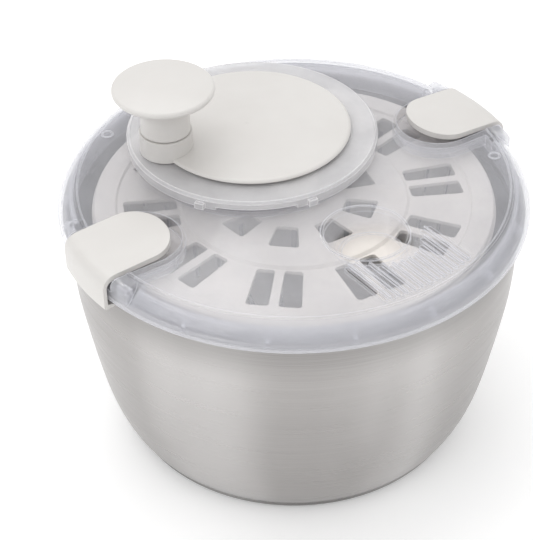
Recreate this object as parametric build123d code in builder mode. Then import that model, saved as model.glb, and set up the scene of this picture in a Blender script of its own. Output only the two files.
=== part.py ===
from build123d import *
import math
import os

# Salad spinner: steel bowl, slotted basket under a clear lid, off-centre crank geared to the basket.
# Millimetres. +Z is up, the origin is the centre of the bowl's base on the table.

# ---------------------------------------------------------------- driving dimensions
lid_radius = 125.0
lid_edge_z = 142.4          # where the sloping border meets the skirt
skirt_bottom_z = 139.5
deck_z = 153.0              # top of the flat clear deck
deck_radius = 115.5         # inner boundary of the sloping border
lid_wall = 2.0

steel = 0.8
base_radius = 90.2
corner_reach = 6.2
corner_height = 5.4
bead_centre = (121.0, 139.6)
bead_radius = 1.7
pivot_top_z = 9.2           # underside of the pressed centre; its top is one wall higher
bowl_side = (
    (base_radius + corner_reach, corner_height),
    (104.5, 21.5),
    (111.5, 49.8),
    (117.3, 85.3),
    (120.3, bead_centre[1]),
)

basket_wall = 1.8
basket_floor_z = 13.0
basket_floor_radius = 82.0
basket_mouth_radius = 104.0
pivot_spigot_radius = 5.0
cover_z = 139.2             # top of the basket cover
cover_radius = 106.5
cover_thickness = 2.0
cover_dome_radius = 60.0
cover_dome_rise = 1.5

gear_module = 1.5
drive_teeth = 42
pinion_teeth = 15
gear_bottom_z = 148.5
gear_height = 6.0
centre_distance = gear_module * (drive_teeth + pinion_teeth) / 2

design_angle = 122.0        # direction from the lid's axis to the crank's axis
crank_centre = (
    centre_distance * math.cos(math.radians(design_angle)),
    centre_distance * math.sin(math.radians(design_angle)),
)
drum_radius = 68.0
drum_top_z = 159.0
well_radius = 58.0
well_floor_z = 145.6
well_bottom_z = 143.8
lug_angles = (-112.0, -62.0, 68.0, 118.0)

crank_radius = 53.5
crank_bottom_z = 160.0
crank_edge_z = 162.2
crank_crown_z = 163.0
crank_rest_angle = -155.4
knob_arm = 49.5
knob_centre = (
    crank_centre[0] + knob_arm * math.cos(math.radians(crank_rest_angle)),
    crank_centre[1] + knob_arm * math.sin(math.radians(crank_rest_angle)),
)
boss_radius = 14.2
boss_top_z = 172.0
knob_gap = 0.3
knob_stem_radius = 13.3
knob_radius = 27.0
knob_rim_z = 197.6
knob_top_z = 201.2

latch_angle = 33.8          # the second latch is diametrically opposite
latch_width = 40.5
latch_tip = 79.3
latch_round = 17.0          # length of the tab's rounded end
latch_outer = 127.6
latch_pivot = (117.5, 149.0)
pin_radius = 1.5
pocket_half_width = 22.0
pocket_start = 72.2
pocket_floor_z = 146.0
block_half_angle = 16.0     # the blocks that hold the latch's pin reach this far round the rim
running_gap = 0.05

port_angle = -53.4
port_mouth_distance = 60.5
port_mouth_radius = 22.0
port_hole_distance = 66.8
port_hole_radius = 15.5
port_hole_z = 145.2
port_lip = 0.6
grille_angle = -52.0
grille_pitch = 4.5
grille_slots = 13
grille_slot_width = 2.2
grille_outer_radius = 110.5

os.makedirs("parts", exist_ok=True)


# ---------------------------------------------------------------- planes
def level(height, turn=0.0, centre=(0.0, 0.0)):
    """A horizontal plane whose x axis points in the direction turn."""
    a = math.radians(turn)
    return Plane(
        origin=(centre[0], centre[1], height),
        x_dir=(math.cos(a), math.sin(a), 0),
        z_dir=(0, 0, 1),
    )


def upright(turn=0.0, centre=(0.0, 0.0)):
    """A vertical plane through a vertical axis: x is the radius, y is the height."""
    a = math.radians(turn)
    return Plane(
        origin=(centre[0], centre[1], 0),
        x_dir=(math.cos(a), math.sin(a), 0),
        z_dir=(math.sin(a), -math.cos(a), 0),
    )


def vertical_axis(centre):
    return Axis((centre[0], centre[1], 0), (0, 0, 1))


def dome_height(radius, edge, top):
    """Height at a radius of a round dome through edge = (radius, z) with its top on the axis."""
    rise = top - edge[1]
    sphere = (edge[0] ** 2 + rise**2) / (2 * rise)
    return top - sphere + math.sqrt(sphere**2 - radius**2)


def save(builder, name):
    builder.part.label = name
    export_step(builder.part, f"parts/{name}.step")


# ---------------------------------------------------------------- bowl
with BuildPart() as bowl:
    with BuildSketch(upright()):
        with BuildLine():
            Polyline((0, pivot_top_z), (2.6, pivot_top_z), (6.4, 1.2), (76, 1.2), (79, 0), (base_radius, 0))
            ThreePointArc((base_radius, 0), (base_radius + 4.4, 1.6), bowl_side[0])
            Spline(*bowl_side, tangents=((0.7, 1), (0.02, 1)))
            Line(bowl_side[-1], (bowl_side[-1][0] - steel, bowl_side[-1][1]))
            Spline(*[(r - steel, z) for r, z in reversed(bowl_side)], tangents=((-0.02, -1), (-0.7, -1)))
            ThreePointArc(
                (bowl_side[0][0] - steel, bowl_side[0][1]),
                (base_radius + 3.8, 2.2),
                (base_radius, steel),
            )
            Polyline(
                (base_radius, steel),
                (79.2, steel),
                (76.2, 1.2 + steel),
                (7.0, 1.2 + steel),
                (3.2, pivot_top_z + steel),
                (0, pivot_top_z + steel),
                (0, pivot_top_z),
            )
        make_face()
    revolve(axis=Axis.Z)
    with BuildSketch(upright()):
        with Locations(bead_centre):
            Circle(bead_radius)
    revolve(axis=Axis.Z)
save(bowl, "bowl")

# ---------------------------------------------------------------- basket
with BuildPart() as basket:
    with BuildSketch(upright()):
        with BuildLine():
            RadiusArc((basket_floor_radius, basket_floor_z), (91.2, 21.6), -9.0)
            Line((91.2, 21.6), (basket_mouth_radius, cover_z - cover_thickness - basket_wall))
            offset(amount=basket_wall, side=Side.LEFT)
        make_face()
    revolve(axis=Axis.Z)
    with BuildSketch(level(cover_z - cover_thickness - basket_wall)):
        Circle(cover_radius + 0.8)
        Circle(basket_mouth_radius - basket_wall, mode=Mode.SUBTRACT)
    extrude(amount=basket_wall)
    for row_z in (27, 61, 95):
        with BuildSketch(level(row_z)):
            with PolarLocations(98, 36):
                Rectangle(24, 3.4)
        extrude(amount=27, mode=Mode.SUBTRACT)
save(basket, "basket")

# ---------------------------------------------------------------- slotted floor pressed into the basket's wall
with BuildPart() as basket_floor:
    with BuildSketch(level(basket_floor_z)):
        Circle(basket_floor_radius - 0.02)
        Circle(pivot_spigot_radius, mode=Mode.SUBTRACT)
        with PolarLocations(32, 12):
            SlotOverall(26, 3.4, mode=Mode.SUBTRACT)
        with PolarLocations(64, 24, start_angle=7.5):
            SlotOverall(26, 3.4, mode=Mode.SUBTRACT)
    extrude(amount=basket_wall)
save(basket_floor, "basket_floor")

# ---------------------------------------------------------------- pivot cup, staked into the basket's floor
with BuildPart() as basket_pivot:
    with BuildSketch(upright()):
        with BuildLine():
            Polyline(
                (0, pivot_top_z + steel + 0.3),
                (3.6, pivot_top_z + steel + 0.3),
                (6.3, 5.2),
                (9.5, 5.2),
                (9.5, basket_floor_z),
                (pivot_spigot_radius - 0.03, basket_floor_z),
                (pivot_spigot_radius - 0.03, basket_floor_z + basket_wall),
                (8.0, basket_floor_z + basket_wall),
                (7.2, basket_floor_z + basket_wall + 0.8),
                (0, basket_floor_z + basket_wall + 0.8),
                close=True,
            )
        make_face()
    revolve(axis=Axis.Z)
save(basket_pivot, "basket_pivot")

# ---------------------------------------------------------------- basket cover
outer_slot_inner = 62.0
outer_slot_outer = 90.0
outer_slot_start = -96.5
inner_slot_start = -97.0
socket_radius = 11.0

with BuildPart() as basket_cover:
    with BuildSketch(upright()):
        with BuildLine():
            Polyline(
                (socket_radius, cover_z + cover_dome_rise - cover_thickness),
                (cover_dome_radius - 1.5, cover_z + cover_dome_rise - cover_thickness),
                (cover_dome_radius, cover_z - cover_thickness),
                (99.5, cover_z - cover_thickness),
                (99.5, cover_z - cover_thickness - 6),
                (101.3, cover_z - cover_thickness - 6),
                (101.3, cover_z - cover_thickness),
                (cover_radius, cover_z - cover_thickness),
                (cover_radius, cover_z + 0.2),
                (cover_radius - 0.8, cover_z + 1.0),
                (94.8, cover_z + 1.0),
                (93.8, cover_z),
                (cover_dome_radius + 1.5, cover_z),
                (cover_dome_radius, cover_z + cover_dome_rise),
                (socket_radius, cover_z + cover_dome_rise),
                close=True,
            )
        make_face()
    revolve(axis=Axis.Z)
    with BuildSketch(level(cover_z - 5, outer_slot_start)) as outer_slots:
        with PolarLocations(0, 10):
            for side in (1, -1):
                Polygon(
                    (outer_slot_inner, side * 2.4),
                    (outer_slot_outer, side * 2.4),
                    (outer_slot_outer, side * 14.2),
                    (outer_slot_inner, side * 11.8),
                    align=None,
                )
        fillet(outer_slots.vertices(), radius=1.8)
    extrude(amount=10, mode=Mode.SUBTRACT)
    with BuildSketch(level(cover_z - 5, inner_slot_start)) as inner_slots:
        with PolarLocations(0, 9):
            Polygon((27.5, 5.6), (44.5, 8.2), (44.5, -8.2), (27.5, -5.6), align=None)
        fillet(inner_slots.vertices(), radius=1.8)
    extrude(amount=10, mode=Mode.SUBTRACT)
save(basket_cover, "basket_cover")

# ---------------------------------------------------------------- drive socket in the cover
dog_flats = 13.0
dog_flange_z = 141.9
dog_bottom_z = 131.5
journal_bottom_z = 143.3

with BuildPart() as drive_socket:
    with BuildSketch(level(128.5)):
        Circle(socket_radius)
    extrude(amount=cover_z + cover_dome_rise + 0.7 - 128.5)
    with BuildSketch(level(cover_z + cover_dome_rise)):
        Circle(15)
    extrude(amount=0.7)
    with BuildSketch(level(130.8, design_angle)):
        RegularPolygon(dog_flats / 2 + 0.35, 6, major_radius=False)
    extrude(amount=20, mode=Mode.SUBTRACT)
save(drive_socket, "drive_socket")


# ---------------------------------------------------------------- gears
def involute_outline(module, teeth, backlash):
    """Draws a closed spur gear outline; the first tooth is centred on the x axis."""
    pressure = math.radians(20)
    pitch_radius = module * teeth / 2
    base_circle = pitch_radius * math.cos(pressure)
    tip_radius = pitch_radius + 0.95 * module
    root_radius = pitch_radius - 1.25 * module
    half_tooth = math.pi / (2 * teeth) - backlash / (2 * pitch_radius)
    involute_at_pitch = math.tan(pressure) - pressure
    start_radius = max(base_circle, root_radius) + 0.01

    def flank_angle(radius):
        slope = math.acos(base_circle / radius)
        return half_tooth + involute_at_pitch - (math.tan(slope) - slope)

    def at(radius, angle):
        return (radius * math.cos(angle), radius * math.sin(angle))

    radii = [start_radius + (tip_radius - start_radius) * i / 3 for i in range(4)]
    step = 2 * math.pi / teeth
    for tooth in range(teeth):
        centre = tooth * step
        foot = flank_angle(start_radius)
        Line(at(root_radius, centre - foot), at(start_radius, centre - foot))
        Spline(*[at(r, centre - flank_angle(r)) for r in radii])
        tip = flank_angle(tip_radius)
        ThreePointArc(at(tip_radius, centre - tip), at(tip_radius, centre), at(tip_radius, centre + tip))
        Spline(*[at(r, centre + flank_angle(r)) for r in reversed(radii)])
        Line(at(start_radius, centre + foot), at(root_radius, centre + foot))
        ThreePointArc(
            at(root_radius, centre + foot),
            at(root_radius, centre + step / 2),
            at(root_radius, centre + step - foot),
        )


axle_radius = 8.0
axle_flats = 12.0
journal_radius = 5.0
gear_top_z = gear_bottom_z + gear_height

with BuildPart() as drive_gear:
    with BuildSketch(level(gear_bottom_z, design_angle + 180, crank_centre)):
        with BuildLine():
            involute_outline(gear_module, drive_teeth, 0.25)
        make_face()
        with PolarLocations(20, 6):
            Circle(6.2, mode=Mode.SUBTRACT)
    extrude(amount=gear_height)
    with BuildSketch(level(gear_top_z, 0, crank_centre)):
        Circle(11)
    extrude(amount=1.4)
    with BuildSketch(level(gear_bottom_z, crank_rest_angle, crank_centre)):
        RegularPolygon(axle_flats / 2, 6, major_radius=False)
    extrude(amount=gear_height + 2, mode=Mode.SUBTRACT)
save(drive_gear, "drive_gear")

with BuildPart() as pinion:
    with BuildSketch(level(gear_bottom_z, design_angle + 180 / pinion_teeth)):
        with BuildLine():
            involute_outline(gear_module, pinion_teeth, 0.25)
        make_face()
    extrude(amount=gear_height)
    with BuildSketch(level(journal_bottom_z)):
        Circle(journal_radius)
    extrude(amount=gear_bottom_z - journal_bottom_z)
    with BuildSketch(level(journal_bottom_z)):
        Circle(pin_radius)
    extrude(amount=20, mode=Mode.SUBTRACT)
save(pinion, "pinion")

with BuildPart() as pinion_bush:
    with BuildSketch(level(well_bottom_z)):
        Circle(7)
    extrude(amount=well_floor_z - well_bottom_z)
    with BuildSketch(level(well_floor_z)):
        Circle(9)
    extrude(amount=1.0)
    with BuildSketch(level(well_bottom_z)):
        Circle(journal_radius + running_gap)
    extrude(amount=5, mode=Mode.SUBTRACT)
save(pinion_bush, "pinion_bush")

with BuildPart() as drive_dog:
    with BuildSketch(level(dog_bottom_z, design_angle)):
        RegularPolygon(dog_flats / 2, 6, major_radius=False)
    extrude(amount=dog_flange_z - dog_bottom_z)
    chamfer(drive_dog.faces().sort_by(Axis.Z)[0].edges(), length=1.2)
    with BuildSketch(level(dog_flange_z)):
        Circle(8)
    extrude(amount=journal_bottom_z - dog_flange_z)
    with BuildSketch(level(dog_bottom_z + 3)):
        Circle(pin_radius)
    extrude(amount=15, mode=Mode.SUBTRACT)
save(drive_dog, "drive_dog")


def cross_recess(plane, span, depth):
    """Cuts a cross-shaped driver recess downwards from a plane."""
    with BuildSketch(plane) as cross:
        Rectangle(span, span / 4)
        Rectangle(span / 4, span)
    extrude(cross.sketch, amount=-depth, mode=Mode.SUBTRACT)


with BuildPart() as pinion_screw:
    with BuildSketch(level(dog_bottom_z + 3.5)):
        Circle(pin_radius)
    extrude(amount=gear_top_z - dog_bottom_z - 3.5)
    with BuildSketch(level(gear_top_z)):
        Circle(3.0)
    extrude(amount=1.8)
    fillet(pinion_screw.faces().sort_by(Axis.Z)[-1].edges(), radius=0.7)
    cross_recess(level(gear_top_z + 1.8), 3.0, 0.9)
save(pinion_screw, "pinion_screw")

# ---------------------------------------------------------------- clear cover over the gears
with BuildPart() as gear_cover:
    with BuildSketch(upright(0, crank_centre)):
        with BuildLine():
            Polyline(
                (9.5, drum_top_z),
                (drum_radius - 1.4, drum_top_z),
                (drum_radius, drum_top_z - 1.4),
                (drum_radius, deck_z),
                (drum_radius - 2.2, deck_z),
                (drum_radius - 2.2, drum_top_z - lid_wall),
                (9.5, drum_top_z - lid_wall),
                close=True,
            )
        make_face()
    revolve(axis=vertical_axis(crank_centre))
    with BuildSketch(level(deck_z, 0, crank_centre)):
        for lug_angle in lug_angles:
            with PolarLocations(drum_radius + 0.6, 1, start_angle=lug_angle):
                Rectangle(3.0, 5.0)
    extrude(amount=3.4)
    with BuildSketch(level(deck_z, (lug_angles[0] + lug_angles[1]) / 2, crank_centre)):
        with BuildLine():
            slot_half = math.radians((lug_angles[1] - lug_angles[0]) / 2 - 5)
            slot_reach = drum_radius + 6
            Polyline(
                (40, 0),
                (slot_reach * math.cos(slot_half), -slot_reach * math.sin(slot_half)),
                (slot_reach * 1.2, 0),
                (slot_reach * math.cos(slot_half), slot_reach * math.sin(slot_half)),
                close=True,
            )
        make_face()
    extrude(amount=1.6, mode=Mode.SUBTRACT)
save(gear_cover, "gear_cover")

with BuildPart() as axle_bush:
    with BuildSketch(level(drum_top_z - lid_wall - 0.6, 0, crank_centre)):
        Circle(9.5)
    extrude(amount=lid_wall + 0.6)
    with BuildSketch(level(drum_top_z, 0, crank_centre)):
        Circle(12.5)
    extrude(amount=0.7)
    with BuildSketch(level(drum_top_z - 5, 0, crank_centre)):
        Circle(axle_radius + running_gap)
    extrude(amount=10, mode=Mode.SUBTRACT)
save(axle_bush, "axle_bush")

# ---------------------------------------------------------------- crank
channel_slope = 3.2
crank_edge = (crank_radius - 2.0, crank_edge_z)

with BuildPart() as crank_disc:
    with BuildSketch(upright(0, crank_centre)):
        with BuildLine():
            Polyline(
                (0, crank_crown_z),
                (0, gear_bottom_z),
                (axle_flats / 2, gear_bottom_z),
                (axle_radius, gear_top_z + 1.4),
                (axle_radius, crank_bottom_z),
                (crank_radius - 0.8, crank_bottom_z),
                (crank_radius, crank_bottom_z + 0.8),
            )
            ThreePointArc(
                (crank_radius, crank_bottom_z + 0.8),
                (crank_radius - 0.5, crank_edge_z - 0.6),
                crank_edge,
            )
            ThreePointArc(
                crank_edge,
                (crank_radius / 2, dome_height(crank_radius / 2, crank_edge, crank_crown_z)),
                (0, crank_crown_z),
            )
        make_face()
    revolve(axis=vertical_axis(crank_centre))
    # the axle's end is a hexagon that turns the drive gear
    with BuildSketch(level(gear_bottom_z, crank_rest_angle, crank_centre)):
        Circle(axle_radius + 4)
        RegularPolygon(axle_flats / 2, 6, major_radius=False, mode=Mode.SUBTRACT)
    extrude(amount=gear_height + 1.4, mode=Mode.SUBTRACT)
    # a shallow sunk channel widens from the middle of the disc to the knob boss
    channel_plane = level(crank_crown_z - 0.25, crank_rest_angle, crank_centre).rotated((0, channel_slope, 0))
    with BuildSketch(channel_plane):
        with BuildLine():
            Polyline((2, 0), (knob_arm, boss_radius), (70, boss_radius), (70, -boss_radius),
                     (knob_arm, -boss_radius), close=True)
        make_face()
    extrude(amount=9, mode=Mode.SUBTRACT)
    with BuildSketch(level(crank_bottom_z, 0, knob_centre)):
        Circle(boss_radius)
    extrude(amount=boss_top_z - crank_bottom_z)
    fillet(crank_disc.faces().sort_by(Axis.Z)[-1].edges(), radius=0.6)
    with BuildSketch(level(crank_bottom_z + 1.5, 0, knob_centre)):
        Circle(3.0)
    extrude(amount=20, mode=Mode.SUBTRACT)
    with BuildSketch(level(gear_bottom_z, 0, crank_centre)):
        Circle(pin_radius)
    extrude(amount=10, mode=Mode.SUBTRACT)
save(crank_disc, "crank_disc")

with BuildPart() as hub_washer:
    with BuildSketch(level(gear_bottom_z - 0.9, 0, crank_centre)):
        Circle(9)
        Circle(pin_radius + 0.1, mode=Mode.SUBTRACT)
    extrude(amount=0.9)
save(hub_washer, "hub_washer")

with BuildPart() as hub_screw:
    with BuildSketch(level(gear_bottom_z - 2.6, 0, crank_centre)):
        Circle(3.4)
    extrude(amount=1.7)
    fillet(hub_screw.faces().sort_by(Axis.Z)[0].edges(), radius=0.6)
    with BuildSketch(level(gear_bottom_z - 0.9, 0, crank_centre)):
        Circle(pin_radius)
    extrude(amount=10.4)
    with BuildSketch(level(gear_bottom_z - 2.6, 0, crank_centre)):
        Rectangle(3.2, 0.8)
        Rectangle(0.8, 3.2)
    extrude(amount=0.9, mode=Mode.SUBTRACT)
save(hub_screw, "hub_screw")

# ---------------------------------------------------------------- knob
spindle_radius = 4.0
spindle_top_z = 190.0
knob_bottom_z = boss_top_z + knob_gap

with BuildPart() as knob_spindle:
    with BuildSketch(level(crank_bottom_z + 1.5, 0, knob_centre)):
        Circle(3.0)
    extrude(amount=boss_top_z - crank_bottom_z - 1.5)
    with BuildSketch(level(boss_top_z, 0, knob_centre)):
        Circle(spindle_radius)
    extrude(amount=spindle_top_z - boss_top_z)
    chamfer(knob_spindle.faces().sort_by(Axis.Z)[0].edges(), length=0.5)
    with BuildSketch(level(spindle_top_z, 0, knob_centre)):
        Circle(pin_radius)
    extrude(amount=-9, mode=Mode.SUBTRACT)
save(knob_spindle, "knob_spindle")

with BuildPart() as knob_grip:
    with BuildSketch(upright(0, knob_centre)):
        with BuildLine():
            Polyline(
                (spindle_radius + running_gap, knob_bottom_z),
                (knob_stem_radius - 0.5, knob_bottom_z),
                (knob_stem_radius, knob_bottom_z + 0.5),
                (knob_stem_radius - 0.3, knob_bottom_z + 9),
            )
            Spline(
                (knob_stem_radius - 0.3, knob_bottom_z + 9),
                (15.6, 190.0),
                (knob_radius - 2.6, knob_rim_z - 1.9),
                tangents=((-0.05, 1), (1, 0.16)),
            )
            Polyline(
                (knob_radius - 2.6, knob_rim_z - 1.9),
                (knob_radius - 2.6, knob_rim_z - 0.4),
                (10.5, knob_rim_z - 0.4),
                (10.5, spindle_top_z - 0.6),
                (spindle_radius + running_gap, spindle_top_z - 0.6),
                (spindle_radius + running_gap, knob_bottom_z),
            )
        make_face()
    revolve(axis=vertical_axis(knob_centre))
save(knob_grip, "knob_grip")

with BuildPart() as knob_washer:
    with BuildSketch(level(spindle_top_z, 0, knob_centre)):
        Circle(7)
        Circle(pin_radius + 0.1, mode=Mode.SUBTRACT)
    extrude(amount=0.8)
save(knob_washer, "knob_washer")

with BuildPart() as knob_screw:
    with BuildSketch(level(spindle_top_z + 0.8, 0, knob_centre)):
        Circle(3.2)
    extrude(amount=2.0)
    fillet(knob_screw.faces().sort_by(Axis.Z)[-1].edges(), radius=0.8)
    with BuildSketch(level(spindle_top_z + 0.8, 0, knob_centre)):
        Circle(pin_radius)
    extrude(amount=-9.3)
    cross_recess(level(spindle_top_z + 2.8, 0, knob_centre), 3.4, 1.0)
save(knob_screw, "knob_screw")

cap_edge = (knob_radius - 1.4, knob_rim_z + 1.7)

with BuildPart() as knob_cap:
    with BuildSketch(upright(0, knob_centre)):
        with BuildLine():
            Polyline(
                (0, knob_top_z - 2.6),
                (8.4, knob_top_z - 2.6),
                (8.4, knob_rim_z - 3.6),
                (10.4, knob_rim_z - 3.6),
                (10.4, knob_rim_z - 0.4),
                (knob_radius - 2.6, knob_rim_z - 0.4),
                (knob_radius - 2.6, knob_rim_z - 1.9),
                (knob_radius - 1.6, knob_rim_z - 1.9),
            )
            ThreePointArc(
                (knob_radius - 1.6, knob_rim_z - 1.9),
                (knob_radius, knob_rim_z - 0.1),
                cap_edge,
            )
            ThreePointArc(
                cap_edge,
                (knob_radius / 2, dome_height(knob_radius / 2, cap_edge, knob_top_z)),
                (0, knob_top_z),
            )
            Line((0, knob_top_z), (0, knob_top_z - 2.6))
        make_face()
    revolve(axis=vertical_axis(knob_centre))
save(knob_cap, "knob_cap")


# ---------------------------------------------------------------- latches
knuckle_half = 18.0
knuckle_radius = 2.6
spring_gap_half = 5.0


def build_latch(angle):
    """A rocking latch: finger tab inside, hooked lip outside, pivoted on a cross pin."""
    with BuildPart() as latch:
        with BuildSketch(upright(angle - 16)):
            with BuildLine():
                Polyline((latch_tip, 153.3), (latch_tip, 156.5), (119.5, 154.1))
                Spline((119.5, 154.1), (125.6, 151.6), (latch_outer, 146.0), tangents=((1, -0.06), (0.05, -1)))
                Polyline(
                    (latch_outer, 146.0),
                    (latch_outer, 134.8),
                    (latch_outer - 0.8, 134.0),
                    (121.4, 134.4),
                    (121.4, 136.3),
                    (125.7, 136.9),
                    (125.7, 146.0),
                )
                Spline((125.7, 146.0), (124.0, 150.0), (119.3, 151.4), tangents=((0, 1), (-1, 0.06)))
                Line((119.3, 151.4), (latch_tip, 153.3))
            make_face()
        revolve(axis=Axis.Z, revolution_arc=32)
        with BuildSketch(level(130, angle)):
            with Locations((latch_tip + latch_round, 0)):
                Rectangle(60, latch_width, align=(Align.MIN, Align.CENTER))
            with Locations((latch_tip + latch_round, 0)):
                Ellipse(latch_round, latch_width / 2)
        extrude(amount=40, mode=Mode.INTERSECT)
        for side in (1, -1):
            middle = side * (knuckle_half + spring_gap_half) / 2
            knuckle_plane = upright(angle).offset(middle)
            with BuildSketch(knuckle_plane):
                with Locations(latch_pivot):
                    Circle(knuckle_radius)
                with Locations((latch_pivot[0], latch_pivot[1] + 1.6)):
                    Rectangle(2 * knuckle_radius, 3.2)
            extrude(amount=(knuckle_half - spring_gap_half) / 2, both=True)
        with BuildSketch(upright(angle)):
            with Locations(latch_pivot):
                Circle(pin_radius + running_gap)
        extrude(amount=30, both=True, mode=Mode.SUBTRACT)
    return latch


def build_latch_pin(angle):
    with BuildPart() as pin:
        with BuildSketch(upright(angle)):
            with Locations(latch_pivot):
                Circle(pin_radius)
        extrude(amount=26, both=True)
        chamfer(pin.edges().filter_by(GeomType.CIRCLE), length=0.3)
    return pin


def build_latch_spring(angle):
    """Torsion spring round the pin: four coils, with a short straight arm at each end."""
    wire = 0.3
    coil_radius = 1.95
    coil_pitch = 1.4
    coils = 4
    side = upright(angle)
    centre = side.from_local_coords((latch_pivot[0], latch_pivot[1], -coils * coil_pitch / 2))
    with BuildPart() as spring:
        with BuildLine() as coil_line:
            Helix(coil_pitch, coils * coil_pitch, coil_radius, center=centre, direction=side.z_dir)
        with BuildSketch(Plane(origin=coil_line.line @ 0, z_dir=coil_line.line % 0)):
            Circle(wire)
        sweep(path=coil_line.line, is_frenet=True)
        for end, heading in ((0, -1), (1, 1)):
            arm_plane = Plane(origin=coil_line.line @ end, z_dir=(coil_line.line % end) * heading)
            with BuildSketch(arm_plane):
                Circle(wire)
            extrude(amount=1.6)
    return spring


latch_sides = {"left": latch_angle + 180, "right": latch_angle}
for side_name, side_angle in latch_sides.items():
    save(build_latch(side_angle), f"latch_{side_name}")
    save(build_latch_pin(side_angle), f"latch_{side_name}_pin")
    save(build_latch_spring(side_angle), f"latch_{side_name}_spring")

# ---------------------------------------------------------------- clear lid
locating_radius = 118.2
locating_bottom_z = 136.0
rim_web_angles = (4.0, 64.0, 84.0, 104.0, 124.0, 144.0, 164.0)    # each has one opposite it
pocket_wall = 1.8
pocket_end = pocket_start + pocket_half_width    # centre of the pocket's rounded inner end

# a pair of blocks and the rim between them; each latch's pin sits in one pair
with BuildPart() as pin_blocks:
    with BuildSketch(upright(-block_half_angle)):
        with BuildLine():
            Polyline(
                (lid_radius - 4.2, deck_z),
                (113, deck_z),
                (113, lid_edge_z),
                (lid_radius - 0.2, lid_edge_z),
                (lid_radius - 0.2, deck_z - 4.0),
            )
            CenterArc((lid_radius - 4.2, deck_z - 4.0), 4.0, 0, 90)
        make_face()
    revolve(axis=Axis.Z, revolution_arc=2 * block_half_angle)
    by_side = pin_blocks.faces().sort_by(Axis.Y)
    end_edges = by_side[0].edges() + by_side[-1].edges()
    fillet([edge for edge in end_edges if edge.center().Z > lid_edge_z + 1 and edge.center().X > 110.5], radius=2.5)

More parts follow.
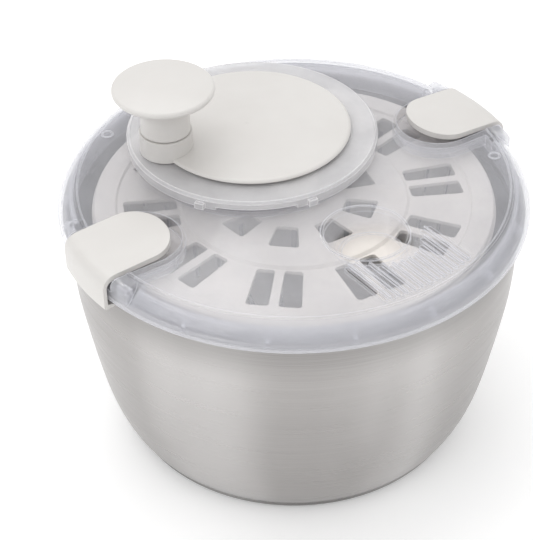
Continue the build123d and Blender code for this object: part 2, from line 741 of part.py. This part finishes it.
with BuildPart() as lid:
    with BuildSketch(upright()):
        with BuildLine():
            Polyline((0, deck_z), (0, deck_z - lid_wall), (deck_radius - 0.6, deck_z - lid_wall))
            ThreePointArc(
                (deck_radius - 0.6, deck_z - lid_wall), (119.8, 147.3), (lid_radius - 1.8, lid_edge_z - 0.6)
            )
            Polyline(
                (lid_radius - 1.8, lid_edge_z - 0.6),
                (lid_radius - 1.8, skirt_bottom_z),
                (lid_radius - 0.4, skirt_bottom_z),
                (lid_radius, skirt_bottom_z + 0.4),
                (lid_radius, lid_edge_z),
            )
            ThreePointArc((lid_radius, lid_edge_z), (121.4, 148.6), (deck_radius, deck_z + 0.5))
            Polyline(
                (deck_radius, deck_z + 0.5),
                (deck_radius - 1.4, deck_z + 0.5),
                (deck_radius - 1.9, deck_z),
                (0, deck_z),
            )
        make_face()
    revolve(axis=Axis.Z)
    # wall that centres the lid in the mouth of the bowl
    with BuildSketch(level(locating_bottom_z)):
        Circle(locating_radius)
        Circle(locating_radius - lid_wall, mode=Mode.SUBTRACT)
    extrude(amount=149.0 - locating_bottom_z)
    # webs inside the sloping border, which rest on the bowl's bead
    with BuildSketch(upright()):
        with BuildLine():
            Polyline(
                (locating_radius - 1, bead_centre[1] + bead_radius + 0.1),
                (locating_radius - 1, 149.2),
                (lid_radius - 1.0, lid_edge_z - 0.6),
                (lid_radius - 1.0, bead_centre[1] + bead_radius + 0.1),
                close=True,
            )
        make_face()
    web = extrude(amount=0.7, both=True, mode=Mode.PRIVATE)
    for web_angle in rim_web_angles:
        with PolarLocations(0, 2, start_angle=web_angle):
            add(web)
    # sunk well that holds the gears
    with BuildSketch(level(well_bottom_z, 0, crank_centre)):
        Circle(well_radius + lid_wall)
    extrude(amount=deck_z - well_bottom_z)
    with BuildSketch(level(well_floor_z, 0, crank_centre)):
        Circle(well_radius)
    extrude(amount=10, mode=Mode.SUBTRACT)
    with BuildSketch(level(well_bottom_z - 1)):
        Circle(7)
    extrude(amount=5, mode=Mode.SUBTRACT)
    for side_angle in latch_sides.values():
        # tub round the pocket, with a block each side of the latch to carry its pin
        with Locations(Rotation(0, 0, side_angle)):
            add(pin_blocks.part)
        with BuildSketch(level(pocket_floor_z - pocket_wall, side_angle)):
            with Locations((pocket_end, 0)):
                Circle(pocket_half_width + pocket_wall)
                Rectangle(19, 2 * (pocket_half_width + pocket_wall), align=(Align.MIN, Align.CENTER))
        extrude(amount=deck_z - pocket_floor_z + pocket_wall)
        # the pocket itself, open towards the outside for the lip
        with BuildSketch(level(pocket_floor_z, side_angle)):
            with Locations((pocket_end, 0)):
                Circle(pocket_half_width)
                Rectangle(60, 2 * pocket_half_width, align=(Align.MIN, Align.CENTER))
        extrude(amount=20, mode=Mode.SUBTRACT)
        # each block is hollow from below
        with BuildSketch(level(skirt_bottom_z - 5, side_angle)):
            for side in (1, -1):
                with Locations((105, side * (pocket_half_width + pocket_wall))):
                    Rectangle(30, 6.4, align=(Align.MIN, Align.MIN if side > 0 else Align.MAX))
            Circle(lid_radius - 2.4, mode=Mode.INTERSECT)
            Circle(locating_radius + 0.7, mode=Mode.SUBTRACT)
        extrude(amount=150.0 - skirt_bottom_z + 5, mode=Mode.SUBTRACT)
        with BuildSketch(upright(side_angle)):
            with Locations(latch_pivot):
                Circle(pin_radius)
        extrude(amount=26.2, both=True, mode=Mode.SUBTRACT)
    # pouring port: a funnel from a wide mouth to a round hole
    a = math.radians(port_angle)
    mouth_centre = (port_mouth_distance * math.cos(a), port_mouth_distance * math.sin(a))
    hole_centre = (port_hole_distance * math.cos(a), port_hole_distance * math.sin(a))
    with BuildSketch(level(deck_z, 0, mouth_centre)):
        Circle(port_mouth_radius + 1.2)
    with BuildSketch(level(port_hole_z - 1.5, 0, hole_centre)):
        Circle(port_hole_radius + 2.2)
    loft()
    with BuildSketch(level(deck_z, 0, mouth_centre)):
        Circle(port_mouth_radius + 0.9)
    extrude(amount=port_lip)
    with BuildSketch(level(deck_z + port_lip, 0, mouth_centre)):
        Circle(port_mouth_radius - 0.5)
    with BuildSketch(level(port_hole_z, 0, hole_centre)):
        Circle(port_hole_radius)
    loft(mode=Mode.SUBTRACT)
    with BuildSketch(level(port_hole_z, 0, hole_centre)):
        Circle(port_hole_radius)
    extrude(amount=-3, mode=Mode.SUBTRACT)
    # drain grille: parallel slots with raised ribs between them, outside the port
    grille_half = (grille_slots - 1) / 2 * grille_pitch
    for index in range(grille_slots):
        across = -grille_half + index * grille_pitch
        outer = math.sqrt(grille_outer_radius**2 - across**2)
        clear_of_port = port_hole_distance + math.sqrt(max(0.0, (port_mouth_radius + 1) ** 2 - across**2))
        inner = max(clear_of_port, 76.0)
        with BuildSketch(level(deck_z - lid_wall - 1, grille_angle)):
            with Locations(((inner + outer) / 2, across)):
                SlotOverall(outer - inner, grille_slot_width)
        extrude(amount=5, mode=Mode.SUBTRACT)
        if index < grille_slots - 1:
            with BuildSketch(level(deck_z - 0.5, grille_angle)):
                with Locations(((inner + outer) / 2, across + grille_pitch / 2)):
                    SlotOverall(outer - inner + 1, 1.2)
            extrude(amount=1.7)
    # two small moulded rings on the deck
    with BuildSketch(level(deck_z)):
        for mark_angle in (10.0, 159.0):
            with PolarLocations(109.0, 1, start_angle=mark_angle):
                Circle(3.2)
                Circle(2.5, mode=Mode.SUBTRACT)
    extrude(amount=0.4)
save(lid, "lid")
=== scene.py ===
import math

import bpy
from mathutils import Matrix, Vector

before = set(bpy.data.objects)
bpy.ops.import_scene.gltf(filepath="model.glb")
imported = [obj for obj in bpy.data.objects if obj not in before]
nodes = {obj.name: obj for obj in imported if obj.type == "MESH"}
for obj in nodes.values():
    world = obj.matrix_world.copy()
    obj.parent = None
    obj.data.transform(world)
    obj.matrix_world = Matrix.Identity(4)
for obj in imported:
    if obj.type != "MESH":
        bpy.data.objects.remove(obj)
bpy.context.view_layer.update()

scene = bpy.context.scene

# ---------------------------------------------------------------- sizes the finishes follow (metres)
BORDER_RADIUS = 0.1155              # where the lid's clear deck meets its frosted border
BORDER_FADE = (-0.0012, 0.0010)     # the frosting comes in from here to here, about that radius
PORT_CENTRE = (0.0398, -0.0536)
PORT_POLISH = (0.0180, 0.0215)      # the lid is polished clear round the port, and fades to its usual haze
BEAD_Z = 0.1379                     # underside of the bowl's rolled bead
BEAD_FADE = (-0.001, 0.0008)        # the polish comes in from here to here, about that height
CORNER_Z = 0.0054                   # top of the bowl's rounded base corner
CORNER_FADE = (0.0012, -0.0006)
PAINTED_SHADE_UNDER_BEAD_Z = (0.112, 0.137)       # painted shade: the wall is painted darker towards the bead, under the lid's overhang, between these heights
PAINTED_CONTACT_SHADE_Z = (2 * CORNER_Z, 0.0)        # painted shade: and towards the table between these, as a contact shadow

# ---------------------------------------------------------------- the bowl's soft upright bands: painted reflections of the studio
BAND_COUNT = 6.0
BAND_PHASE = math.radians(336)
BAND_WANDER = 0.6                   # radians of a band's cycle that it strays, up and down the wall
BAND_SHARPNESS = 1.7                # above 1, the bright bands are narrower than the dull ones

# ---------------------------------------------------------------- colours
WHITE = (1, 1, 1, 1)
# painted reflection: the bowl's bright and dull bands, standing in for the studio's reflections
STEEL_REFLECTION_BRIGHT = (0.530, 0.515, 0.508, 1)
STEEL_REFLECTION_DULL = (0.372, 0.357, 0.350, 1)
STEEL_HAIRLINE = (0.60, 0.588, 0.575, 1)
# painted shade under the bead, where the lid overhangs the wall
STEEL_PAINTED_SHADE_UNDER_BEAD = (0.21, 0.202, 0.198, 1)
# painted contact shade at the foot of the wall
STEEL_PAINTED_CONTACT_SHADE = (0.07, 0.068, 0.066, 1)
FASTENER_BRIGHT = (0.64, 0.63, 0.61, 1)
FASTENER_DULL = (0.50, 0.49, 0.47, 1)
FLOOR_LIGHT = (0.95, 0.95, 0.95, 1)
FLOOR_SHADE = (0.93, 0.93, 0.93, 1)

# ---------------------------------------------------------------- parts of a noise texture's range
MIDDLE = (0.3, 0.7)
WIDE = (0.25, 0.75)
UPPER = (0.3, 0.75)
SPECKS = (0.62, 0.8)
FEW_SCRATCHES = (0.66, 0.8)
LINES = (0.12, 0.42)                # for two textures multiplied together

# ---------------------------------------------------------------- how strongly each effect shows, 0 to 1
SPECK_SHARE = 0.10
# strength of the painted shade under the bead
UNDER_BEAD_PAINTED_SHADE = 0.58
# strength of the painted contact shade at the foot
CONTACT_PAINTED_SHADE = 0.85
HAIRLINE_SHARE = 0.2
SCRATCH_HAZE = 0.05
FROST_HAZE = (0.31, 0.38)
PORT_HAZE = 0.12                    # share of the lid's haze that is left round the port
# painted highlight: how much whiter the clear plastic's haze is made along its sharp edges
EDGE_PAINTED_HIGHLIGHT = 0.90

# ---------------------------------------------------------------- optics
PLASTIC_IOR = 1.49
GLOSS_SPREAD = (-0.05, 0.08)        # moulded plastic's roughness varies about its own value by this
COAT_ROUGHNESS = 0.18
POLISHED_ROUGHNESS = 0.16           # the bowl's bead and base corner
SATIN_ROUGHNESS = (0.26, 0.40)      # the rest of the bowl
BRUSHED_ANISOTROPY = 0.55
FASTENER_ROUGHNESS = (0.20, 0.36)
CLEAR_ROUGHNESS = 0.12
HEAD_ON_GLOSS = 0.04                # share of light that clear plastic reflects, seen square on
GRAZING_GLOSS = 0.80                # what is added to it at a grazing angle
GRAZING_POWER = 5.0


# ---------------------------------------------------------------- node helpers
def node(tree, kind, inputs=None, **settings):
    """Adds a node; each input is a value, or another node's output to link."""
    made = tree.nodes.new(kind)
    for key, value in settings.items():
        setattr(made, key, value)
    for key, value in (inputs or {}).items():
        if isinstance(value, bpy.types.NodeSocket):
            tree.links.new(value, made.inputs[key])
        else:
            made.inputs[key].default_value = value
    return made


def new_material(name):
    made = bpy.data.materials.new(name)
    made.use_nodes = True
    made.node_tree.nodes.clear()
    return made, made.node_tree


def finish_material(tree, shader):
    node(tree, "ShaderNodeOutputMaterial", {"Surface": shader})


def position(tree):
    return node(tree, "ShaderNodeTexCoord").outputs["Object"]


def vector_math(tree, operation, first, second, output="Vector"):
    inputs = {0: first, 1: second}
    return node(tree, "ShaderNodeVectorMath", inputs, operation=operation).outputs[output]


def noise(tree, stretch, detail, roughness):
    """Noise over the object's position, which is first stretched along x, y and z."""
    inputs = {
        "Vector": vector_math(tree, "MULTIPLY", position(tree), stretch),
        "Scale": 1.0,
        "Detail": detail,
        "Roughness": roughness,
    }
    return node(tree, "ShaderNodeTexNoise", inputs).outputs["Fac"]


def even_noise(tree, scale, detail, roughness):
    """Noise over the object's position, the same size every way."""
    inputs = {"Vector": position(tree), "Scale": scale, "Detail": detail, "Roughness": roughness}
    return node(tree, "ShaderNodeTexNoise", inputs).outputs["Fac"]


def span(tree, value, low, high, to_low=0.0, to_high=1.0):
    """Maps low..high to to_low..to_high, smoothly and clamped."""
    inputs = {"Value": value, "From Min": low, "From Max": high, "To Min": to_low, "To Max": to_high}
    made = node(tree, "ShaderNodeMapRange", inputs, interpolation_type="SMOOTHSTEP")
    return made.outputs["Result"]


def calc(tree, operation, first, second=0.0, third=0.0):
    inputs = {0: first, 1: second, 2: third}
    return node(tree, "ShaderNodeMath", inputs, operation=operation).outputs[0]


def blend_values(tree, factor, first, second):
    inputs = {0: factor, 2: first, 3: second}
    return node(tree, "ShaderNodeMix", inputs, data_type="FLOAT").outputs[0]


def blend_colours(tree, factor, first, second):
    made = node(tree, "ShaderNodeMix", data_type="RGBA")
    for index, value in ((0, factor), (6, first), (7, second)):
        if isinstance(value, bpy.types.NodeSocket):
            tree.links.new(value, made.inputs[index])
        else:
            made.inputs[index].default_value = value
    return made.outputs[2]


def bump(tree, height, strength, distance, normal=None):
    inputs = {"Height": height, "Strength": strength, "Distance": distance}
    if normal is not None:
        inputs["Normal"] = normal
    return node(tree, "ShaderNodeBump", inputs).outputs["Normal"]


def soft_edges(tree, radius):
    return node(tree, "ShaderNodeBevel", {"Radius": radius}, samples=4).outputs["Normal"]


def near_edge(tree, radius, low, high):
    """0 on the flats, 1 within about the radius of a sharp edge.

    Rises from 0 to 1 as the rounded normal leaves the flat one, from low to high.
    """
    flat = node(tree, "ShaderNodeNewGeometry").outputs["Normal"]
    agree = vector_math(tree, "DOT_PRODUCT", soft_edges(tree, radius), flat, "Value")
    return span(tree, agree, 1.0 - low, 1.0 - high)


def coordinates(tree):
    split = node(tree, "ShaderNodeSeparateXYZ", {0: position(tree)})
    return split.outputs["X"], split.outputs["Y"], split.outputs["Z"]


def distance_from(tree, x, y):
    """Distance across the table from the upright line through x, y."""
    offset = vector_math(tree, "SUBTRACT", position(tree), (x, y, 0.0))
    level = vector_math(tree, "MULTIPLY", offset, (1, 1, 0))
    return node(tree, "ShaderNodeVectorMath", {0: level}, operation="LENGTH").outputs["Value"]


def principled(tree, inputs):
    finish_material(tree, node(tree, "ShaderNodeBsdfPrincipled", inputs).outputs[0])


# ---------------------------------------------------------------- finishes
def moulded_plastic(name, light, shade, gloss, texture_size, coat):
    """Opaque moulded plastic: faint flow tone, fine grain and slightly uneven gloss."""
    made, tree = new_material(name)
    flow = noise(tree, stretch=(28, 28, 60), detail=3.0, roughness=0.55)
    grain = even_noise(tree, scale=1.0 / texture_size, detail=3.0, roughness=0.6)
    haze = noise(tree, stretch=(190, 240, 190), detail=4.0, roughness=0.6)
    tone = blend_colours(tree, span(tree, flow, *MIDDLE), shade, light)
    speck = span(tree, grain, *SPECKS, 0.0, SPECK_SHARE)
    edges = soft_edges(tree, radius=0.0005)
    inputs = {
        "Base Color": blend_colours(tree, speck, tone, shade),
        "Roughness": span(tree, haze, *UPPER, gloss + GLOSS_SPREAD[0], gloss + GLOSS_SPREAD[1]),
        "IOR": PLASTIC_IOR,
        "Normal": bump(tree, grain, strength=0.10, distance=0.00012, normal=edges),
        "Coat Weight": coat,
        "Coat Roughness": COAT_ROUGHNESS,
    }
    principled(tree, inputs)
    return made


def painted_reflection_bands(tree):
    """0 to 1: upright painted reflection bands round the bowl, each straying a little up and down the
    wall.
    """
    x, y, _ = coordinates(tree)
    turn = calc(tree, "ARCTAN2", y, x)
    patches = noise(tree, stretch=(16, 16, 4), detail=2.0, roughness=0.5)
    wander = span(tree, patches, *MIDDLE, -BAND_WANDER, BAND_WANDER)
    phase = calc(tree, "MULTIPLY_ADD", turn, BAND_COUNT, BAND_PHASE)
    swing = calc(tree, "COSINE", calc(tree, "ADD", phase, wander))
    from_zero_to_one = calc(tree, "MULTIPLY_ADD", swing, 0.5, 0.5)
    return calc(tree, "POWER", from_zero_to_one, BAND_SHARPNESS)


def brushed_steel(name):
    """Satin stainless steel, brushed round the bowl, with a polished bead and base corner, painted
    reflection bands, and painted shade under the bead and at the foot.
    """
    made, tree = new_material(name)
    _, _, height = coordinates(tree)
    hairlines = noise(tree, stretch=(6, 6, 2600), detail=3.0, roughness=0.7)
    strokes = noise(tree, stretch=(9, 9, 900), detail=4.0, roughness=0.65)
    # painted shade: the top of the wall, under the lid's overhang and bead, is painted darker
    painted_shade_under_bead = span(tree, height, *PAINTED_SHADE_UNDER_BEAD_Z, 0.0, UNDER_BEAD_PAINTED_SHADE)
    # painted shade: the foot of the wall is painted near black, as a contact shadow on the table
    painted_contact_shade = span(tree, height, *PAINTED_CONTACT_SHADE_Z, 0.0, CONTACT_PAINTED_SHADE)
    # painted reflection: bright and dull bands of the studio, painted into the steel's colour
    tone = blend_colours(tree, painted_reflection_bands(tree), STEEL_REFLECTION_DULL, STEEL_REFLECTION_BRIGHT)
    tone = blend_colours(tree, painted_shade_under_bead, tone, STEEL_PAINTED_SHADE_UNDER_BEAD)
    tone = blend_colours(tree, painted_contact_shade, tone, STEEL_PAINTED_CONTACT_SHADE)
    lines = span(tree, calc(tree, "MULTIPLY", hairlines, strokes), *LINES, 0.0, HAIRLINE_SHARE)
    bead = span(tree, height, BEAD_Z + BEAD_FADE[0], BEAD_Z + BEAD_FADE[1])
    corner = span(tree, height, CORNER_Z + CORNER_FADE[0], CORNER_Z + CORNER_FADE[1])
    polished = calc(tree, "MAXIMUM", bead, corner)
    satin = span(tree, strokes, *MIDDLE, *SATIN_ROUGHNESS)
    inputs = {
        "Base Color": blend_colours(tree, lines, tone, STEEL_HAIRLINE),
        "Metallic": 1.0,
        "Roughness": blend_values(tree, polished, satin, POLISHED_ROUGHNESS),
        "Anisotropic": BRUSHED_ANISOTROPY,
        "Normal": bump(tree, lines, strength=0.22, distance=0.00006),
        "Tangent": node(tree, "ShaderNodeTangent", direction_type="RADIAL", axis="Z").outputs[0],
    }
    principled(tree, inputs)
    return made


def bright_steel(name):
    """Machined steel of the screws, washers, pins and springs."""
    made, tree = new_material(name)
    turning = noise(tree, stretch=(2600, 2600, 5200), detail=3.0, roughness=0.6)
    stain = noise(tree, stretch=(160, 160, 160), detail=3.0, roughness=0.5)
    edges = soft_edges(tree, radius=0.0002)
    inputs = {
        "Base Color": blend_colours(tree, span(tree, stain, *MIDDLE), FASTENER_DULL, FASTENER_BRIGHT),
        "Metallic": 1.0,
        "Roughness": span(tree, turning, *MIDDLE, *FASTENER_ROUGHNESS),
        "Normal": bump(tree, turning, strength=0.15, distance=0.00004, normal=edges),
    }
    principled(tree, inputs)
    return made


def frosted_border(tree, haze):
    """Adds the frosting of the lid's sloping border, outside its clear deck."""
    from_axis = distance_from(tree, 0.0, 0.0)
    frosted = span(tree, from_axis, BORDER_RADIUS + BORDER_FADE[0], BORDER_RADIUS + BORDER_FADE[1])
    frost_tone = noise(tree, stretch=(40, 40, 160), detail=3.0, roughness=0.5)
    frost = calc(tree, "MULTIPLY", frosted, span(tree, frost_tone, *WIDE, *FROST_HAZE))
    return calc(tree, "MAXIMUM", haze, frost)


def clear_plastic(name, haze_range, tint, haze_colour, translucence, is_lid):
    """Clear moulded plastic: light goes straight through, less a thin haze and the surface's gloss, with
    painted highlights as whiter haze along its sharp edges.
    """
    made, tree = new_material(name)
    cloud = noise(tree, stretch=(55, 55, 55), detail=3.0, roughness=0.55)
    scratches = noise(tree, stretch=(900, 45, 300), detail=3.0, roughness=0.7)
    peel = noise(tree, stretch=(420, 420, 420), detail=2.0, roughness=0.5)
    ripple = bump(tree, peel, strength=0.06, distance=0.00020)
    haze = span(tree, cloud, *WIDE, *haze_range)
    haze = calc(tree, "ADD", haze, span(tree, scratches, *FEW_SCRATCHES, 0.0, SCRATCH_HAZE))
    if is_lid:
        haze = frosted_border(tree, haze)
        polish = span(tree, distance_from(tree, *PORT_CENTRE), *PORT_POLISH, PORT_HAZE, 1.0)
        haze = calc(tree, "MULTIPLY", haze, polish)
    # painted highlight: the haze is made whiter along sharp edges, standing in for the bright lines light
    # draws there
    painted_edge_highlight = calc(tree, "MULTIPLY", near_edge(tree, radius=0.0009, low=0.008, high=0.08), EDGE_PAINTED_HIGHLIGHT)
    haze = calc(tree, "MAXIMUM", haze, painted_edge_highlight)
    lit = {"Color": haze_colour, "Normal": ripple}
    diffuse = node(tree, "ShaderNodeBsdfDiffuse", lit).outputs[0]
    translucent = node(tree, "ShaderNodeBsdfTranslucent", lit).outputs[0]
    scatter = node(tree, "ShaderNodeMixShader", {0: translucence, 1: diffuse, 2: translucent}).outputs[0]
    through = node(tree, "ShaderNodeBsdfTransparent", {"Color": tint}).outputs[0]
    body = node(tree, "ShaderNodeMixShader", {0: haze, 1: through, 2: scatter}).outputs[0]
    shine = {"Color": WHITE, "Roughness": CLEAR_ROUGHNESS, "Normal": ripple}
    gloss = node(tree, "ShaderNodeBsdfAnisotropic", shine).outputs[0]
    tilt = node(tree, "ShaderNodeLayerWeight", {"Blend": 0.5, "Normal": ripple}).outputs["Facing"]
    grazing = calc(tree, "POWER", tilt, GRAZING_POWER)
    sheen = calc(tree, "MULTIPLY_ADD", grazing, GRAZING_GLOSS, HEAD_ON_GLOSS)
    finish_material(tree, node(tree, "ShaderNodeMixShader", {0: sheen, 1: body, 2: gloss}).outputs[0])
    return made


steel = brushed_steel("bowl_steel")
white = moulded_plastic(
    "white_plastic",
    light=(0.70, 0.682, 0.66, 1),
    shade=(0.675, 0.655, 0.632, 1),
    gloss=0.36,
    texture_size=0.0011,
    coat=0.12,
)
cream = moulded_plastic(
    "basket_plastic",
    light=(0.84, 0.795, 0.745, 1),
    shade=(0.785, 0.74, 0.69, 1),
    gloss=0.42,
    texture_size=0.0014,
    coat=0.0,
)
gear_white = moulded_plastic(
    "gear_plastic",
    light=(0.80, 0.79, 0.76, 1),
    shade=(0.72, 0.71, 0.68, 1),
    gloss=0.40,
    texture_size=0.0009,
    coat=0.0,
)
hardware = bright_steel("fastener_steel")
lid_clear = clear_plastic(
    "lid_plastic",
    haze_range=(0.215, 0.265),
    tint=(0.99, 0.99, 0.995, 1),
    haze_colour=(0.862, 0.868, 0.915, 1),
    translucence=0.4,
    is_lid=True,
)
drum_clear = clear_plastic(
    "gear_cover_plastic",
    haze_range=(0.36, 0.42),
    tint=(0.99, 0.99, 0.99, 1),
    haze_colour=(0.925, 0.915, 0.928, 1),
    translucence=0.1,
    is_lid=False,
)

finishes = {
    steel: ("bowl",),
    white: ("crank_disc", "knob_grip", "knob_cap", "latch_left", "latch_right"),
    cream: ("basket", "basket_floor", "basket_cover"),
    gear_white: (
        "basket_pivot",
        "drive_socket",
        "drive_gear",
        "pinion",
        "pinion_bush",
        "drive_dog",
        "axle_bush",
    ),
    hardware: (
        "pinion_screw",
        "hub_washer",
        "hub_screw",
        "knob_spindle",
        "knob_washer",
        "knob_screw",
        "latch_left_pin",
        "latch_right_pin",
        "latch_left_spring",
        "latch_right_spring",
    ),
    lid_clear: ("lid",),
    drum_clear: ("gear_cover",),
}
for finish, names in finishes.items():
    for name in names:
        mesh = nodes[name].data
        mesh.materials.clear()
        mesh.materials.append(finish)


# ---------------------------------------------------------------- floor
FLOOR_SIZE = 14
FLOOR_ROUGHNESS = 0.7
FLOOR_GLOW = 0.24                   # keeps the floor pale under the object's soft shadow

floor_material, floor_tree = new_material("floor")
floor_tone = noise(floor_tree, stretch=(3, 3, 3), detail=2.0, roughness=0.5)
floor_look = {
    "Base Color": blend_colours(floor_tree, floor_tone, FLOOR_SHADE, FLOOR_LIGHT),
    "Roughness": FLOOR_ROUGHNESS,
    "Emission Color": WHITE,
    "Emission Strength": FLOOR_GLOW,
}
principled(floor_tree, floor_look)
bpy.ops.mesh.primitive_plane_add(size=FLOOR_SIZE)
floor = bpy.context.object
floor.name = "floor"
floor.data.materials.append(floor_material)


# ---------------------------------------------------------------- light
AIM = Vector((0, 0, 0.1))           # the middle of the object


def studio_world(horizon_light, top_light, top_direction_z):
    """A plain surround, slightly brighter overhead than at the horizon."""
    world = bpy.data.worlds.new("studio")
    scene.world = world
    world.use_nodes = True
    sky = world.node_tree
    sky.nodes.clear()
    outward = node(sky, "ShaderNodeTexCoord").outputs["Generated"]
    up = node(sky, "ShaderNodeSeparateXYZ", {0: outward}).outputs["Z"]
    rise = {
        "Value": up,
        "From Min": 0.0,
        "From Max": top_direction_z,
        "To Min": horizon_light,
        "To Max": top_light,
    }
    strength = node(sky, "ShaderNodeMapRange", rise).outputs[0]
    background = node(sky, "ShaderNodeBackground", {"Strength": strength})
    node(sky, "ShaderNodeOutputWorld", {"Surface": background.outputs[0]})


def soft_box(name, place, width, height, power):
    """A rectangular studio light, turned to face the object."""
    light = bpy.data.lights.new(name, "AREA")
    light.shape = "RECTANGLE"
    light.size = width
    light.size_y = height
    light.energy = power
    held = bpy.data.objects.new(name, light)
    held.location = place
    held.rotation_euler = (AIM - Vector(place)).to_track_quat("-Z", "Y").to_euler()
    scene.collection.objects.link(held)


studio_world(horizon_light=0.95, top_light=1.1, top_direction_z=0.9)
soft_box("key", place=(-0.30, 0.45, 1.45), width=1.3, height=1.3, power=7)
soft_box("fill", place=(-1.0, -0.95, 1.0), width=0.9, height=1.0, power=2.1)

# ---------------------------------------------------------------- camera
SENSOR_WIDTH = 36                   # millimetres, as is the focal length
FOCAL_LENGTH = 111.57
CAMERA_PLACE = (0, -0.716, 0.6724)
CAMERA_TILT = math.radians(49.92)   # up from looking straight down
CAMERA_SHIFT = (-0.0509, 0.05)
NEAR_CLIP = 0.05

lens = bpy.data.cameras.new("camera")
lens.sensor_width = SENSOR_WIDTH
lens.lens = FOCAL_LENGTH
lens.shift_x, lens.shift_y = CAMERA_SHIFT
lens.clip_start = NEAR_CLIP
camera = bpy.data.objects.new("camera", lens)
camera.location = CAMERA_PLACE
camera.rotation_euler = (CAMERA_TILT, 0, 0)
scene.collection.objects.link(camera)
scene.camera = camera
scene.view_settings.view_transform = "Standard"
